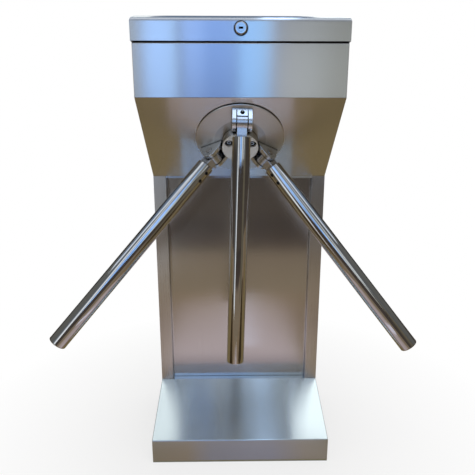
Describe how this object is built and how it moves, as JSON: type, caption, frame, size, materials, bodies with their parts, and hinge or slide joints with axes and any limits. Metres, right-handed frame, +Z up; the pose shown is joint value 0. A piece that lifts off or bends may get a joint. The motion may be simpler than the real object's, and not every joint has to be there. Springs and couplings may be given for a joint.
{
  "type": "tripod turnstile",
  "caption": "Waist-high tripod turnstile: C-shaped steel cabinet, hub on an inclined axis under the head, hinged drop arms that bar or clear the lane.",
  "frame": {"origin": "on the floor, at the centre of the anchor-hole pattern under the middle of the foot", "axes": "+Z up, -Y towards the lane on the hub side, +X to the right of a person facing the hub"},
  "size_m": [0.7787, 0.3615, 0.987],
  "materials": {
    "body_steel": "brushed stainless sheet",
    "plate_steel": "plain mild steel plate, zinc plated",
    "turned_steel": "machined stainless",
    "arm_polished": "mirror-polished stainless tube",
    "cap_aluminium": "matt pale grey",
    "fastener_steel": "plain bright steel",
    "lock_chrome": "polished",
    "housing_iron": "as cast, machined bores",
    "bearing_steel": "ground",
    "coil_black": "moulded",
    "sensor_black": "moulded",
    "board_green": "circuit board laminate",
    "brass_post": "turned",
    "case_aluminium": "mill finish"
  },
  "bodies": {
    "cabinet": {"left_cheek": "body_steel", "right_cheek": "body_steel", "head_skin": "body_steel", "foot_cover": "body_steel", "column_panel": "body_steel", "rear_panel": "body_steel", "rear_panel_screws": "fastener_steel", "floor_plate": "plate_steel", "lid_hinge_lower_leaf": "plate_steel", "lid_hinge_pin": "fastener_steel", "lock_keeper": "plate_steel", "control_board": "board_green", "board_posts": "brass_post", "power_supply": "case_aluminium", "frame_plate": "plate_steel", "frame_bolts": "fastener_steel", "bearing_housing": "housing_iron", "housing_screws": "fastener_steel", "pawl_plate": "plate_steel", "pawl_posts": "fastener_steel", "front_bearing": "bearing_steel", "rear_bearing": "bearing_steel", "left_coil": "coil_black", "right_coil": "coil_black", "position_sensor": "sensor_black"},
    "rotor": {"hub_flange": "turned_steel", "hub_body": "turned_steel", "hub_cap": "cap_aluminium", "hub_screws": "fastener_steel", "hinge_pins": "fastener_steel", "main_shaft": "turned_steel", "bearing_spacer": "turned_steel", "lock_wheel": "plate_steel", "wheel_key": "fastener_steel", "encoder_disc": "case_aluminium", "shaft_nut": "fastener_steel"},
    "lid": {"lid": "body_steel", "lid_hinge_upper_leaf": "plate_steel", "lock_body": "lock_chrome", "lock_nut": "fastener_steel"},
    "lock_core": {"lock_plug": "lock_chrome", "lock_cam": "plate_steel"},
    "left_pawl": {"left_pawl": "plate_steel"},
    "right_pawl": {"right_pawl": "plate_steel"},
    "left_plunger": {"left_plunger": "fastener_steel"},
    "right_plunger": {"right_plunger": "fastener_steel"},
    "top_arm": {"top_arm_tongue": "turned_steel", "top_arm_tube": "arm_polished", "top_arm_cap": "arm_polished", "top_arm_set_screws": "fastener_steel"},
    "right_arm": {"right_arm_tongue": "turned_steel", "right_arm_tube": "arm_polished", "right_arm_cap": "arm_polished", "right_arm_set_screws": "fastener_steel"},
    "left_arm": {"left_arm_tongue": "turned_steel", "left_arm_tube": "arm_polished", "left_arm_cap": "arm_polished", "left_arm_set_screws": "fastener_steel"}
  },
  "joints": [
    {"name": "hub_spin", "type": "hinge", "parent": "cabinet", "child": "rotor", "pos_m": [0, -0.06292, 0.75892], "axis": [0, -0.7071, -0.7071], "continuous": true},
    {"name": "top_arm_fold", "type": "hinge", "parent": "rotor", "child": "top_arm", "pos_m": [0.00276, -0.12546, 0.78964], "axis": [-0.9991, -0.0296, 0.0296], "range_deg": [0, 87.5]},
    {"name": "right_arm_fold", "type": "hinge", "parent": "rotor", "child": "right_arm", "pos_m": [0.05573, -0.05382, 0.718], "axis": [0.5358, -0.597, 0.597], "range_deg": [-45, 0]},
    {"name": "left_arm_fold", "type": "hinge", "parent": "rotor", "child": "left_arm", "pos_m": [-0.05849, -0.05721, 0.72139], "axis": [0.4633, 0.6266, -0.6266], "range_deg": [-45, 0]},
    {"name": "lid_open", "type": "hinge", "parent": "cabinet", "child": "lid", "pos_m": [0, 0.1435, 0.939], "axis": [-1, 0, 0], "range_deg": [0, 100]},
    {"name": "lock_turn", "type": "hinge", "parent": "lid", "child": "lock_core", "pos_m": [0, -0.142, 0.9625], "axis": [0, -1, 0], "range_deg": [0, 90]},
    {"name": "right_pawl_turn", "type": "hinge", "parent": "cabinet", "child": "right_pawl", "pos_m": [0.078, -0.01413, 0.86145], "axis": [0, 0.7071, 0.7071], "range_deg": [0, 13]},
    {"name": "left_pawl_turn", "type": "hinge", "parent": "cabinet", "child": "left_pawl", "pos_m": [-0.078, -0.01413, 0.86145], "axis": [0, -0.7071, -0.7071], "range_deg": [0, 13]},
    {"name": "right_plunger_slide", "type": "slide", "parent": "cabinet", "child": "right_plunger", "axis": [-1, 0, 0], "range_m": [0, 0.00865]},
    {"name": "left_plunger_slide", "type": "slide", "parent": "cabinet", "child": "left_plunger", "axis": [1, 0, 0], "range_m": [0, 0.00865]}
  ],
  "couplings": [
    {"joint": "right_plunger_slide", "follows": "right_pawl_turn", "m_per_rad": 0.038},
    {"joint": "left_plunger_slide", "follows": "left_pawl_turn", "m_per_rad": 0.038}
  ]
}
